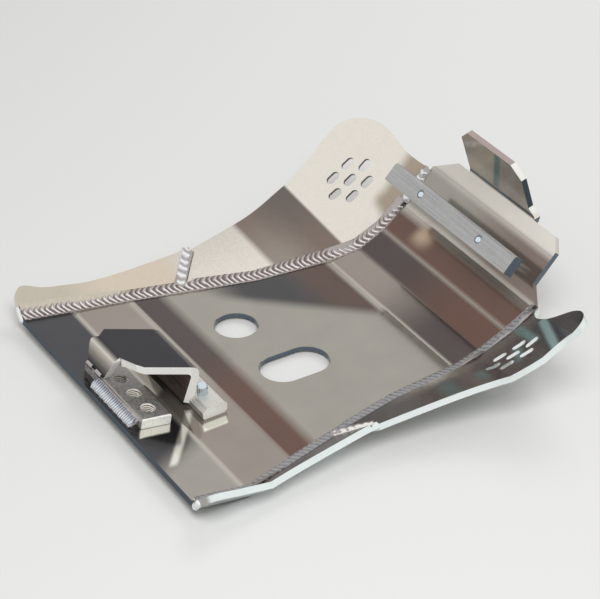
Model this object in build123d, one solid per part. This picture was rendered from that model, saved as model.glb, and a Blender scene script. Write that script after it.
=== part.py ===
# Motorcycle skid plate: a bent belly sheet with two welded side wings, a welded rear mount and a front clamp bar.
# Millimetres. +X runs from the rear edge to the front, +Y to the left side, +Z up. One solid per node.
from build123d import *
import math
import os

os.makedirs("parts", exist_ok=True)

BIG = 1000.0              # reach of a cutter that is larger than the part

# sheet stock
T = 4.76                  # plate and wing sheet, three sixteenths of an inch
BEND_R = 7.0              # inside radius of the bends that run across the plate
SEAM_GAP = 0.15           # root gap between the plate's side and a wing
DEBURR = 0.5              # broken edge of openings and tapped holes

# panels of the main plate, rear to front: length along the sheet and slope from level
KICK_LEN, KICK_SLOPE = 43.2, -8.9
HEEL_LEN, HEEL_SLOPE = 44.4, 1.8
BELLY_LEN = 162.7
FIRST_LEN, FIRST_SLOPE = 26.7, 10.1
SECOND_LEN, SECOND_SLOPE = 25.3, 24.8
THIRD_LEN, THIRD_SLOPE = 26.7, 33.4
FRONT_LEN, FRONT_SLOPE = 52.6, 47.7

# half width of the plate at the end of each panel
REAR_HALF = 133.0
JOINT_X, JOINT_HALF = 52.0, 107.5
WAIST_X, WAIST_HALF = 100.0, 95.5
BELLY_END_HALF = 89.7
FIRST_END_HALF = 86.5
SECOND_END_HALF = 87.0
SHOULDER_HALF = 89.0
TOP_HALF = 63.5                        # half length of the top edge of the front panel
LEFT_IN, LEFT_RUN = 4.0, 38.0          # the left side steps in at its lower bend, and how far up it runs
SHOULDER_STEP = 2.0
NECK_START, NECK_IN = 14.0, 16.0       # the right side slants in above its lower bend
RIGHT_RUN = 43.0

# flange folded up from the top of the front panel
TAB_SLOPE = 108.0
TAB_LEN = 45.2
TAB_LEFT, TAB_RIGHT = 49.0, -29.8
TAB_CORNER_WIDE, TAB_CORNER_HIGH = 12.0, 10.0
TAB_R = 4.0
TAB_ROOT = 10.0                        # length of the fold that lies in the front panel
TAB_PAST = 1.5                         # how far the fold line lies past the panel's top edge
TAB_FLARE = 7.0                        # small web at the right end of the fold

# openings in the belly
DRAIN_X, DRAIN_Y, DRAIN_R = 52.3, 45.8, 16.8
SLOT_X, SLOT_Y, SLOT_STRAIGHT, SLOT_R = 63.8, -20.7, 21.0, 17.6

# wing panels: how high the inner face passes over the plate's own side at the two ends of a stretch, and its
# slope outward
TAIL_LIFT, TAIL_OUT = (2.17, 2.29), 0.9975       # beside the kicked-up panel
REAR_LIFT, REAR_OUT = (3.05, 1.32), 0.6308       # heel bend to joint
MID_LIFT, MID_OUT = (3.06, 3.39), 0.4788         # joint to the end of the belly
RISE_LIFT, RISE_OUT = (-1.92, 1.47), 0.5610      # beside the first rising panel
STEEP_LIFT, STEEP_OUT = (-2.88, -0.12), 0.6302   # beside the next two
EAR_LIFT, EAR_OUT = (1.00, 3.37), 0.8179         # beside the front panel
CUT_REAR = (-0.02, -0.62, 0.78)        # direction in which the outer edge of the rear piece is cut
CUT_FRONT = (-0.25, -0.46, 0.85)
BLANK_IN = 12.0                        # how far a wing blank reaches in before the plate's side cuts it

# butt joint between the two pieces of each wing, its ends given from the plate's side at the joint
BUTT_REAR, BUTT_INSIDE = 19.8, 5.0
BUTT_FRONT, BUTT_OUTSIDE = 18.7, 37.0
BUTT_GAP = 0.3
BUTT_FROM, BUTT_TO = 0.2, 0.72         # share of the joint that the bead covers

# outer edge of the wings in plan. Tail: distance from the rear end and out from the plate's side there.
EDGE_TAIL = [(-0.9, 1.0), (-0.3, 6.5), (2.2, 12.4), (7.1, 15.6), (12.6, 15.7), (22.2, 13.6), (36.5, 12.5)]
# Rear piece and front piece: share of the stretch they lie beside, and distance out from the plate's side.
EDGE_REAR = [(0.092, 14.3), (0.292, 15.7), (0.532, 18.7), (0.780, 22.7), (1.019, 27.1), (1.289, 36.0)]
EDGE_FRONT = [(-0.063, 23.8), (0.129, 30.7), (0.363, 40.5), (0.640, 49.4), (0.952, 62.8)]
# Ears: distance from the lower bend of the front panel, and out from its shoulder.
LEFT_EAR = [(-62.2, 67.3), (-47.2, 70.6), (-24.8, 74.8), (-16.2, 72.6), (-8.2, 67.5), (-1.8, 61.3), (5.1, 52.0),
            (9.5, 42.9), (12.2, 33.6), (14.7, 20.1), (17.1, 12.5), (21.4, 2.0)]
RIGHT_EAR = [(-61.2, 70.4), (-47.2, 73.4), (-28.2, 76.4), (-22.7, 79.0), (-18.6, 78.0), (-14.4, 72.4),
             (-11.8, 64.0), (-10.9, 53.4), (-11.4, 41.0), (-11.2, 27.0), (-9.6, 14.3), (-4.7, 6.0)]
LEFT_ROOT = [(23.3, -3.0), (24.8, -9.0), (0.8, -9.0)]
RIGHT_ROOT = [(1.3, 0.5), (1.3, -9.0)]

# vent slots in the ears, their middle given as the ears' edges are
VENT_LONG, VENT_WIDE = 12.0, 6.4
VENT_PITCH, VENT_ROW = 16.7, 11.2
VENT_ROWS = ((-1, 2), (0, 3), (1, 2))  # place of each row and its number of slots
LEFT_VENT, LEFT_VENT_RUN = (-25.6, 38.6), (0.79, -0.03, 0.61)
RIGHT_VENT, RIGHT_VENT_RUN = (-48.2, 38.6), (0.80, 0.10, 0.58)

# weld beads
SEAM_ON_PLATE = 5.4                    # from the corner to the bead's toe on the plate
SEAM_ON_WING = 4.6                     # and on the wing, in plan
SEAM_TAIL_MORE = 1.2                   # wider at the rear end
SEAM_CROWN = 1.5                       # rise of the bead over a straight line from toe to toe
SEAM_SINK = 2.0                        # how far a bead is fused into the corner under it
SEAM_END = 0.9                         # the bead stops this far from the rear end
NOSE_ON_PLATE, NOSE_ON_WING, NOSE_CROWN = 1.8, 7.5, 2.4
NOSE_END_ON_WING, NOSE_END_CROWN = 5.0, 1.6
NOSE_START, NOSE_RUN = 4.0, 33.0
BUTT_WIDE, BUTT_HIGH = 4.8, 2.2
TAIL_BEAD_R, TAIL_BEAD_OUT = 3.2, 2.0
TAIL_BEAD_SIDE, TAIL_BEAD_UP = 4.5, 3.5

# rear bar, welded on the kicked-up panel
BAR_SETBACK = 10.4
BAR_WIDE, BAR_HIGH = 24.5, 7.9
BAR_LEFT, BAR_RIGHT = 49.0, -37.3
BAR_HOLE_R = 5.0
BAR_HOLE_LEFT, BAR_HOLE_PITCH = 17.9, 20.9
BAR_HOLE_COUNT = 3
BAR_EDGE = 0.8
FOOT_BEAD_LEFT, FOOT_BEAD_RIGHT = 27.0, -33.5
FOOT_BEAD_WIDE, FOOT_BEAD_HIGH = 7.2, 5.2
FOOT_BEAD_BACK, FOOT_BEAD_UP = 0.5, 1.4
FOOT_BEAD_END = 2.4                    # rounding of its two ends

# folded bracket over the rear bar
HAT_T = 6.2
HAT_TOP = 38.8
HAT_R, HAT_INNER_R = 7.4, 2.4
HAT_REAR, HAT_REAR_LEAN = -71.9, 8.9
HAT_FRONT, HAT_FRONT_LEAN = -20.3, 12.9
HAT_FOOT = 6.2                         # underside of the front leg
HAT_NEAR, HAT_FAR = 10.7, 47.0         # near and far side of the top over the rear leg
HAT_PLAN = [(-10.0, -26.8), (-28.0, -26.8), (-57.5, -8.9), (-61.0, -3.2), (-67.1, HAT_NEAR), (-90.0, HAT_NEAR),
            (-90.0, HAT_FAR), (-71.0, HAT_FAR), (-67.0, 43.2), (-59.3, 49.3), (-26.6, 29.2), (-10.0, 29.2)]
LEG_NEAR = 23.2                        # near side of the rear leg at the bar
LEG_LOW, LEG_HIGH = 14.0, 36.0         # its near side slants between these heights
LEG_FRONT = -66.5                      # only the leg behind this plane is slanted
LEG_GAP = 0.01                         # the leg stands on the bar
TACKS = ((25.0, 33.0), (38.5, 46.5))
TACK_IN, TACK_WIDE, TACK_HIGH = 0.6, 2.4, 1.9

# clamp bar in front of the bracket
CLAMP_REAR, CLAMP_WIDE, CLAMP_HIGH = -29.9, 20.4, 9.7
CLAMP_LEFT, CLAMP_RIGHT = 48.0, -45.5
CLAMP_BIG, CLAMP_SMALL = 3.8, 2.2
CLAMP_BOLT_R = 4.0
CLAMP_BOLT_Y = (30.4, -27.4)
CLAMP_BOLT_UP = 7.0                    # stands out above the bar
CSK_R = 8.0
CSK_DEPTH = 4.2
CSK_HEX_R, CSK_HEX_DEEP = 2.9, 2.6

# front clamp bar, held off the front panel by its bolts
FRONT_BAR_AT = 17.0                    # centre of the bar along the front panel
FRONT_BAR_GAP = 32.3
FRONT_BAR_WIDE, FRONT_BAR_HIGH, FRONT_BAR_HALF = 16.0, 9.5, 79.5
FRONT_BAR_BEVEL = 1.6
FRONT_BOLT_R, FRONT_BOLT_Y = 3.0, 38.2
FRONT_TIP = 0.4                        # the bolt ends stay this far below the bar's face
HEAD_R, HEAD_HIGH, HEAD_ROUND = 5.2, 3.3, 2.2
HEX_R, HEX_DEEP = 2.3, 2.0
WASHER_R, WASHER_T = 6.2, 1.6
CLEAR = 0.25                           # a bolt in its clearance hole
THREAD_CLEAR = 0.05                    # a bolt in its tapped hole
BOLT_POINT = 0.75                      # chamfer on the end of a bolt


def step_on(point, length, slope):
    """The next point of a profile, given in x and z."""
    a = math.radians(slope)
    return (point[0] + length * math.cos(a), point[1] + length * math.sin(a))


def offset_line(points, distance):
    """A line at a fixed distance under a profile, with mitred corners."""
    moved = []
    for i, (x, z) in enumerate(points):
        normals = []
        for a, b in ((i - 1, i), (i, i + 1)):
            if a >= 0 and b < len(points):
                dx, dz = points[b][0] - points[a][0], points[b][1] - points[a][1]
                run = math.hypot(dx, dz)
                normals.append((-dz / run, dx / run))
        nx, nz = sum(n[0] for n in normals), sum(n[1] for n in normals)
        size = math.hypot(nx, nz)
        nx, nz = nx / size, nz / size
        reach = distance / (nx * normals[0][0] + nz * normals[0][1])
        moved.append((x - nx * reach, z - nz * reach))
    return moved


def bent_sheet(points, thickness, radius, inner_radius=None):
    """Face of a bent sheet in the XZ plane, its upper side on the given points."""
    lower = offset_line(points, thickness)
    top = FilletPolyline(*points, radius=radius)
    under = FilletPolyline(*lower, radius=inner_radius or radius + thickness)
    ends = Line(points[-1], lower[-1]) + Line(points[0], lower[0])
    return Plane.XZ * make_face(top + ends + under)


def prism(points):
    """A tall prism over a plan outline."""
    return extrude(Plane.XY * make_face(Polyline(*points, close=True)), amount=BIG, both=True)


def between(table, x):
    """Value at x on a line through the table's places."""
    for (xa, va), (xb, vb) in zip(table[:-1], table[1:]):
        if x <= xb:
            return va + (vb - va) * (x - xa) / (xb - xa)
    return table[-1][1]


def panel(start, slope):
    """Work plane on the plate's upper side: local x runs up the panel, local y to the left."""
    a = math.radians(slope)
    return Plane(origin=(start[0], 0, start[1]), x_dir=(math.cos(a), 0, math.sin(a)),
                 z_dir=(-math.sin(a), 0, math.cos(a)))


belly_rear = (0.0, T)
belly_front = (BELLY_LEN, T)
first_end = step_on(belly_front, FIRST_LEN, FIRST_SLOPE)
second_end = step_on(first_end, SECOND_LEN, SECOND_SLOPE)
third_end = step_on(second_end, THIRD_LEN, THIRD_SLOPE)
front_end = step_on(third_end, FRONT_LEN, FRONT_SLOPE)
heel_rear = step_on(belly_rear, -HEEL_LEN, HEEL_SLOPE)
rear_end = step_on(heel_rear, -KICK_LEN, KICK_SLOPE)
PROFILE = [rear_end, heel_rear, belly_rear, belly_front, first_end, second_end, third_end, front_end]
SIDE = [(rear_end[0] - T, REAR_HALF), (heel_rear[0], REAR_HALF), (JOINT_X, JOINT_HALF), (WAIST_X, WAIST_HALF),
        (belly_front[0], BELLY_END_HALF), (first_end[0], FIRST_END_HALF), (second_end[0], SECOND_END_HALF),
        (third_end[0], SHOULDER_HALF)]
kick = panel(rear_end, KICK_SLOPE)
heel = panel(heel_rear, HEEL_SLOPE)
front = panel(third_end, FRONT_SLOPE)
left_side = SHOULDER_HALF - LEFT_IN
right_side = SHOULDER_HALF - NECK_IN


def wing_panel(start, end, lifts, out):
    """Height of a panel's inner face over the origin, its slope along x and its slope outward."""
    (xa, za), (xb, zb) = [(x, between(PROFILE, x) + lift - out * between(SIDE, x))
                          for x, lift in zip((start, end), lifts)]
    along = (zb - za) / (xb - xa)
    return (za - along * xa, along, out)


WING_TAIL = wing_panel(rear_end[0], heel_rear[0], TAIL_LIFT, TAIL_OUT)
WING_REAR = wing_panel(heel_rear[0], JOINT_X, REAR_LIFT, REAR_OUT)
WING_MID = wing_panel(JOINT_X, belly_front[0], MID_LIFT, MID_OUT)
WING_RISE = wing_panel(belly_front[0], first_end[0], RISE_LIFT, RISE_OUT)
WING_STEEP = wing_panel(first_end[0], third_end[0], STEEP_LIFT, STEEP_OUT)
WING_EAR = wing_panel(third_end[0], front_end[0], EAR_LIFT, EAR_OUT)
REAR_PANELS = [WING_TAIL, WING_REAR]
FRONT_PANELS = [WING_MID, WING_RISE, WING_STEEP, WING_EAR]


def main_plate():
    body = extrude(bent_sheet(PROFILE, T, BEND_R), amount=BIG, both=True)
    side = SIDE + [(BIG, SHOULDER_HALF)]
    body &= prism(side + [(x, -y) for x, y in reversed(side)])
    kept = make_face(Polyline((-FRONT_LEN, SHOULDER_HALF), (0, SHOULDER_HALF), (SHOULDER_STEP, left_side),
                              (LEFT_RUN, left_side), (FRONT_LEN, TOP_HALF), (FRONT_LEN, -TOP_HALF),
                              (RIGHT_RUN, -right_side), (NECK_START, -right_side), (0, -SHOULDER_HALF),
                              (-FRONT_LEN, -SHOULDER_HALF), close=True))
    around = Pos(BIG / 2, 0, 0) * Box(BIG, BIG, 8 * T)
    body -= front * (around - extrude(kept, amount=10 * T, both=True))
    body += flange()
    drain = Pos(DRAIN_X, DRAIN_Y, T / 2) * Cylinder(DRAIN_R, 4 * T)
    slot = Pos(SLOT_X, SLOT_Y, 0) * extrude(SlotCenterToCenter(SLOT_STRAIGHT, 2 * SLOT_R), amount=3 * T, both=True)
    before = body.edges().filter_by(Plane.XY)
    body -= drain + slot
    known = [e.center() for e in before]
    rims = [e for e in body.edges().filter_by(Plane.XY) if all((e.center() - c).length > DEBURR for c in known)]
    body = chamfer(rims, DEBURR)
    for y in CLAMP_BOLT_Y:
        body -= clamp_bolt_hole(y, CLEAR)
    for y in (FRONT_BOLT_Y, -FRONT_BOLT_Y):
        body -= front * Pos(FRONT_BAR_AT, y, 0) * Cylinder(FRONT_BOLT_R + CLEAR, 4 * T)
    return body


def flange():
    """Flange folded up from the front panel, with its clipped corners."""
    root = step_on(third_end, FRONT_LEN - TAB_ROOT, FRONT_SLOPE)
    fold = step_on(root, TAB_ROOT + TAB_PAST, FRONT_SLOPE)
    tip = step_on(fold, TAB_LEN, TAB_SLOPE)
    tab = extrude(bent_sheet([root, fold, tip], T, TAB_R), amount=BIG, both=True)
    shoulder, top, below = TAB_LEN - TAB_CORNER_HIGH, TAB_LEN + 1, -4 * TAB_ROOT
    blank = make_face(Polyline((below, TAB_LEFT), (shoulder, TAB_LEFT), (top, TAB_LEFT - TAB_CORNER_WIDE),
                               (top, TAB_RIGHT + TAB_CORNER_WIDE), (shoulder, TAB_RIGHT),
                               (TAB_FLARE, TAB_RIGHT), (0, TAB_RIGHT - TAB_FLARE), (below, TAB_RIGHT - TAB_FLARE),
                               close=True))
    return tab & extrude(panel(fold, TAB_SLOPE) * blank, amount=4 * TAB_ROOT, both=True)


def clamp_bolt_hole(y, clear):
    """Countersunk clearance hole under the rear clamp bar."""
    at = CLAMP_REAR + CLAMP_WIDE / 2 - heel_rear[0]
    shank = Cylinder(CLAMP_BOLT_R + clear, 6 * T)
    sink = Pos(0, 0, -T + CSK_DEPTH / 2) * Cone(CSK_R + clear, CLAMP_BOLT_R + clear, CSK_DEPTH)
    return heel * Pos(at, y, 0) * (shank + sink)


def wing_normal(slopes, side):
    return Vector(-slopes[1], -slopes[2] * side, 1).normalized()


def wing_height(panels, x, y):
    """Inner face of a wing: the highest of its panels, seen from above."""
    return max(c + cx * x + cy * abs(y) for c, cx, cy in panels)


def wing_point(slopes, x, y, side):
    return Vector(x, side * y, wing_height([slopes], x, y))


def wing_slab(slopes, side):
    """A wide flat slab of sheet whose upper side is one wing panel."""
    on = Plane(origin=wing_point(slopes, WAIST_X, SHOULDER_HALF, side), x_dir=(1, 0, slopes[1]),
               z_dir=wing_normal(slopes, side))
    return on * Pos(0, 0, -T / 2) * Box(BIG, BIG, T)


def mitre(first, second, side):
    """Plane through the fold between two wing panels. Its normal points to the rear."""
    a, b = wing_normal(first, side), wing_normal(second, side)
    line = a.cross(b).normalized()
    if line.Y * side < 0:
        line = line * -1
    y = SHOULDER_HALF
    x = (second[0] - first[0] + (second[2] - first[2]) * y) / (first[1] - second[1])
    across = line.cross((a + b).normalized()).normalized()
    if across.X > 0:
        across = across * -1
    return Plane(origin=wing_point(first, x, y, side), x_dir=line, z_dir=across)


def folded(panels, side):
    """Sheet folded along the lines where neighbouring wing panels meet."""
    body = None
    for i, slopes in enumerate(panels):
        piece = wing_slab(slopes, side)
        if i > 0:
            piece &= mitre(panels[i - 1], slopes, side) * Pos(0, 0, -BIG / 2) * Box(BIG, BIG, BIG)
        if i < len(panels) - 1:
            piece &= mitre(slopes, panels[i + 1], side) * Pos(0, 0, BIG / 2) * Box(BIG, BIG, BIG)
        body = piece if body is None else body + piece
    return body


def edge_prism(curves, closing, panels, direction, side):
    """Prism through the outer edge of a wing, cut square to the sheet."""
    x, y = curves[0][0]
    cut = Plane(origin=(x, side * y, wing_height(panels, x, y)), x_dir=(1, 0, 0.3),
                z_dir=Vector(direction[0], direction[1] * side, direction[2]).normalized())

    def flat(x, y):
        p = cut.to_local_coords(Vector(x, side * y, wing_height(panels, x, y)))
        return (p.X, p.Y)

    shape = None
    for curve in curves:
        line = Spline(*[flat(x, y) for x, y in curve])
        shape = line if shape is None else shape + line
    corners = [curves[-1][-1]] + closing + [curves[0][0]]
    shape += Polyline(*[flat(x, y) for x, y in corners])
    return extrude(cut * make_face(shape), amount=BIG / 2, both=True)


def beside(edge, start, end):
    """Plan points of an edge given as shares of a stretch and distances out from the plate's side."""
    places = [(start + share * (end - start), out) for share, out in edge]
    return [(x, between(SIDE, x) + out) for x, out in places]


def inside(x):
    return (x, between(SIDE, x) - BLANK_IN)


def by_shoulder(edge):
    """Plan points of an edge given from the lower bend of the front panel and out from its shoulder."""
    return [(third_end[0] + x, SHOULDER_HALF + out) for x, out in edge]


BUTT_IN = (JOINT_X - BUTT_REAR, JOINT_HALF - BUTT_INSIDE)
BUTT_OUT = (JOINT_X + BUTT_FRONT, JOINT_HALF + BUTT_OUTSIDE)


def plate_zone(side):
    """What lies on the plate's side of the line that a wing is cut to."""
    half = left_side if side > 0 else SHOULDER_HALF
    line = [(x, side * (y + SEAM_GAP)) for x, y in SIDE + [(third_end[0] + SHOULDER_STEP, half), (BIG, half)]]
    zone = prism([(SIDE[0][0], 0)] + line + [(BIG, 0)])
    shoulder, half = side * (SHOULDER_HALF + SEAM_GAP), side * (half + SEAM_GAP)
    beside_front = make_face(Polyline((-BEND_R, 0), (-BEND_R, shoulder), (0, shoulder), (SHOULDER_STEP, half),
                                      (2 * FRONT_LEN, half), (2 * FRONT_LEN, 0), close=True))
    return zone + front * extrude(beside_front, amount=3 * T, both=True)


def butt_zones(side):
    """The space behind the butt joint and the space ahead of it."""
    along = Vector(BUTT_OUT[0] - BUTT_IN[0], side * (BUTT_OUT[1] - BUTT_IN[1]), 0).normalized()
    forward = Vector(abs(along.Y), -side * along.X, 0)
    joint = Plane(origin=(BUTT_IN[0], side * BUTT_IN[1], 0), x_dir=along, z_dir=forward)
    half_space = Pos(0, 0, (BIG + BUTT_GAP) / 2) * Box(BIG, BIG, BIG)
    return joint * Rot(180, 0, 0) * half_space, joint * half_space


def wing_pieces(side):
    ear, root = (LEFT_EAR, LEFT_ROOT) if side > 0 else (RIGHT_EAR, RIGHT_ROOT)
    behind, ahead = butt_zones(side)
    zone = plate_zone(side)
    tail = [(rear_end[0] + x, REAR_HALF + out) for x, out in EDGE_TAIL]
    rest = beside(EDGE_REAR, heel_rear[0], JOINT_X)
    closing = [inside(x) for x in (rest[-1][0], heel_rear[0], rear_end[0])]
    rear = folded(REAR_PANELS, side) & edge_prism([tail + rest[:1], rest], closing, REAR_PANELS, CUT_REAR, side)
    rear = (rear & behind) - zone
    rear &= Pos(rear_end[0] + BIG / 2, 0, 0) * Box(BIG, BIG, BIG)

    edge = beside(EDGE_FRONT, JOINT_X, belly_front[0])
    closing = by_shoulder(root) + [inside(belly_front[0]), inside(edge[0][0])]
    blank = edge_prism([edge + by_shoulder(ear)], closing, FRONT_PANELS, CUT_FRONT, side)
    fore = (folded(FRONT_PANELS, side) & blank & ahead) - zone
    fore -= vents(side)
    return rear, fore


def vents(side):
    """Rows of slots through an ear."""
    vent, run = (LEFT_VENT, LEFT_VENT_RUN) if side > 0 else (RIGHT_VENT, RIGHT_VENT_RUN)
    normal = wing_normal(WING_STEEP, side)
    if side > 0:
        normal = (normal + wing_normal(WING_EAR, side)).normalized()
    along = Vector(run[0], run[1] * side, run[2])
    along = (along - normal * along.dot(normal)).normalized()
    (x, y), = by_shoulder([vent])
    grid = Plane(origin=(x, side * y, wing_height(FRONT_PANELS, x, y)), x_dir=along, z_dir=normal)
    cuts = []
    for row, count in VENT_ROWS:
        for k in range(count):
            u = (k - (count - 1) / 2) * VENT_PITCH
            slot = extrude(SlotOverall(VENT_LONG, VENT_WIDE), amount=3 * T, both=True)
            cuts.append(grid * Pos(u, row * VENT_ROW, 0) * slot)
    return cuts


def biggest(shape):
    """The largest solid of a result, without loose slivers."""
    return max(shape.solids(), key=lambda s: s.volume)


def bead(start, end, up, wide, high):
    """A straight length of weld bead with an elliptical section."""
    a, b = Vector(*start), Vector(*end)
    along = (b - a).normalized()
    normal = (up - along * up.dot(along)).normalized()
    section = Plane(origin=a, x_dir=normal.cross(along), z_dir=along)
    return extrude(section * Ellipse(wide, high), amount=(b - a).length)


def corner_section(x, side, corner, plate_toe, wing_toe, plate_top, wing_top, crown):
    """Section of a corner bead at one place along the plate, in a plane across the plate."""
    inner = Vector(x, side * (corner - plate_toe), plate_top)
    outer = Vector(x, side * (corner + wing_toe), wing_top)
    chord = outer - inner
    normal = Vector(0, -side * chord.Z, abs(chord.Y)).normalized()
    middle = (inner + outer) * 0.5 + normal * crown
    deep_in = inner - Vector(0, 0, SEAM_SINK)
    deep_out = outer - Vector(0, 0, SEAM_SINK)
    low = Vector(x, side * corner, min(plate_top, wing_top) - SEAM_SINK)
    edge = ThreePointArc(inner, middle, outer) + Polyline(outer, deep_out, low, deep_in, inner)
    return make_face(edge)


def corner_weld(stations, side, taken):
    """A bead lofted through its sections, trimmed to the sheets it joins."""
    body = loft([corner_section(side=side, **place) for place in stations], ruled=True)
    for other in taken:
        body -= other
    return biggest(body)


def seam_weld(side, taken):
    """Long corner bead between the plate and one wing."""
    stations = []
    for x in (rear_end[0] + SEAM_END, heel_rear[0], (heel_rear[0] + JOINT_X) / 2, JOINT_X - SEAM_ON_WING,
              JOINT_X + SEAM_ON_WING, WAIST_X, belly_front[0], first_end[0], second_end[0],
              third_end[0] - DEBURR):
        corner = between(SIDE, x)
        panels = REAR_PANELS if x < JOINT_X else FRONT_PANELS
        toe = SEAM_ON_WING + (SEAM_TAIL_MORE if x <= heel_rear[0] else 0.0)
        stations.append(dict(x=x, corner=corner, plate_toe=SEAM_ON_PLATE, wing_toe=toe,
                             plate_top=between(PROFILE, x), wing_top=wing_height(panels, x, corner + toe),
                             crown=SEAM_CROWN))
    return corner_weld(stations, side, taken)


def nose_weld(taken):
    """Wide bead that joins the left ear to the side of the front panel."""
    stations = []
    for run, toe, crown in ((NOSE_START, NOSE_ON_WING, NOSE_CROWN), (NOSE_RUN / 2, NOSE_ON_WING, NOSE_CROWN),
                            (NOSE_RUN, NOSE_END_ON_WING, NOSE_END_CROWN)):
        x, top = step_on(third_end, run, FRONT_SLOPE)
        stations.append(dict(x=x, corner=left_side, plate_toe=NOSE_ON_PLATE, wing_toe=toe, plate_top=top,
                             wing_top=wing_height(FRONT_PANELS, x, left_side + toe), crown=crown))
    return corner_weld(stations, 1, taken)


def butt_weld(side, taken):
    """Bead across the wing where its two pieces meet."""

    def at(share):
        x, y = [a + (b - a) * share for a, b in zip(BUTT_IN, BUTT_OUT)]
        middle = (wing_point(WING_REAR, x, y, side) + wing_point(WING_MID, x, y, side)) * 0.5
        return (middle.X, middle.Y, middle.Z)

    up = wing_normal(WING_REAR, side) + wing_normal(WING_MID, side)
    body = bead(at(BUTT_FROM), at(BUTT_TO), up, BUTT_WIDE, BUTT_HIGH)
    for other in taken:
        body -= other
    return biggest(body)


def tail_weld(side, taken):
    """Rounded bead over the rear end of a corner seam."""
    x = rear_end[0] + TAIL_BEAD_R - TAIL_BEAD_OUT
    low = Vector(x, side * (REAR_HALF - DEBURR), rear_end[1] - T / 2)
    high = Vector(x, side * (REAR_HALF + TAIL_BEAD_SIDE), rear_end[1] + TAIL_BEAD_UP)
    along = (high - low).normalized()
    body = Plane(origin=(low + high) * 0.5, z_dir=along) * Cylinder(TAIL_BEAD_R, (high - low).length)
    for end in (low, high):
        body += Pos(end.X, end.Y, end.Z) * Sphere(TAIL_BEAD_R)
    body -= Pos(rear_end[0] + BIG / 2, 0, 0) * Box(BIG, BIG, BIG)
    for other in taken:
        body -= other
    return biggest(body)


def rear_bar():
    middle = BAR_SETBACK + BAR_WIDE / 2
    block = Pos(middle, (BAR_LEFT + BAR_RIGHT) / 2, BAR_HIGH / 2) * Box(BAR_WIDE, BAR_LEFT - BAR_RIGHT, BAR_HIGH)
    block = chamfer(block.edges().group_by(Axis.Z)[-1], BAR_EDGE)
    for k in range(BAR_HOLE_COUNT):
        y = BAR_HOLE_LEFT - k * BAR_HOLE_PITCH
        block -= Pos(middle, y, BAR_HIGH / 2) * Cylinder(BAR_HOLE_R, 3 * BAR_HIGH)
        block -= Pos(middle, y, BAR_HIGH - BAR_EDGE / 2) * Cone(BAR_HOLE_R, BAR_HOLE_R + BAR_EDGE, BAR_EDGE)
    return kick * block


def rear_bar_weld(taken):
    """Fat bead along the back of the rear bar, rounded at both ends."""
    x = BAR_SETBACK - FOOT_BEAD_BACK
    long = bead((x, FOOT_BEAD_RIGHT, FOOT_BEAD_UP), (x, FOOT_BEAD_LEFT, FOOT_BEAD_UP), Vector(-0.5, 0, 0.85),
                FOOT_BEAD_WIDE, FOOT_BEAD_HIGH)
    body = kick * fillet(long.edges().filter_by(GeomType.ELLIPSE), FOOT_BEAD_END)
    for other in taken:
        body -= other
    return biggest(body)


def hat_bracket(taken):
    low = BAR_EDGE + HAT_FOOT
    rear_drop = (HAT_TOP - low) * math.tan(math.radians(HAT_REAR_LEAN))
    front_drop = (HAT_TOP - HAT_FOOT) * math.tan(math.radians(HAT_FRONT_LEAN))
    section = bent_sheet([(HAT_REAR - rear_drop, low), (HAT_REAR, HAT_TOP), (HAT_FRONT, HAT_TOP),
                          (HAT_FRONT - front_drop, HAT_FOOT)], HAT_T, HAT_R, HAT_INNER_R)
    body = extrude(section, amount=BIG, both=True) & prism(HAT_PLAN)
    taper = make_face(Polyline((-BIG, 0), (LEG_NEAR, 0), (LEG_NEAR, LEG_LOW), (HAT_NEAR, LEG_HIGH),
                               (HAT_NEAR, BIG), (-BIG, BIG), close=True))
    body -= Pos(LEG_FRONT, 0, 0) * extrude(Plane.YZ * taper, amount=-BIG)
    under = kick * Pos(0, 0, (BAR_HIGH + LEG_GAP - BIG) / 2) * Box(BIG, BIG, BAR_HIGH + LEG_GAP + BIG)
    body -= under & (Pos(HAT_REAR + HAT_T + HAT_R - BIG / 2, 0, 0) * Box(BIG, BIG, BIG))
    for other in taken:
        body -= other
    return biggest(body)


def bracket_tacks(taken):
    """Small tack beads that hold the bracket's rear leg on the rear bar."""
    beads = []
    x = BAR_SETBACK + TACK_IN
    for right, left in TACKS:
        body = kick * bead((x, right, BAR_HIGH), (x, left, BAR_HIGH), Vector(-1, 0, 0.4), TACK_WIDE, TACK_HIGH)
        for other in taken:
            body -= other
        beads.append(biggest(body))
    return beads


def clamp_bar():
    x0 = CLAMP_REAR - heel_rear[0]
    x1, small = x0 + CLAMP_WIDE, CLAMP_SMALL
    section = make_face(Polyline((x0, small / 2), (x0, CLAMP_HIGH - CLAMP_BIG), (x0 + CLAMP_BIG, CLAMP_HIGH),
                                 (x1 - small, CLAMP_HIGH), (x1, CLAMP_HIGH - small), (x1, small), (x1 - small, 0),
                                 (x0 + small / 2, 0), close=True))
    bar = extrude(Plane.XZ * section, amount=-CLAMP_LEFT) + extrude(Plane.XZ * section, amount=-CLAMP_RIGHT)
    for y in CLAMP_BOLT_Y:
        bar -= Pos((x0 + x1) / 2, y, CLAMP_HIGH / 2) * Cylinder(CLAMP_BOLT_R + THREAD_CLEAR, 3 * CLAMP_HIGH)
    return heel * bar


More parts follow.
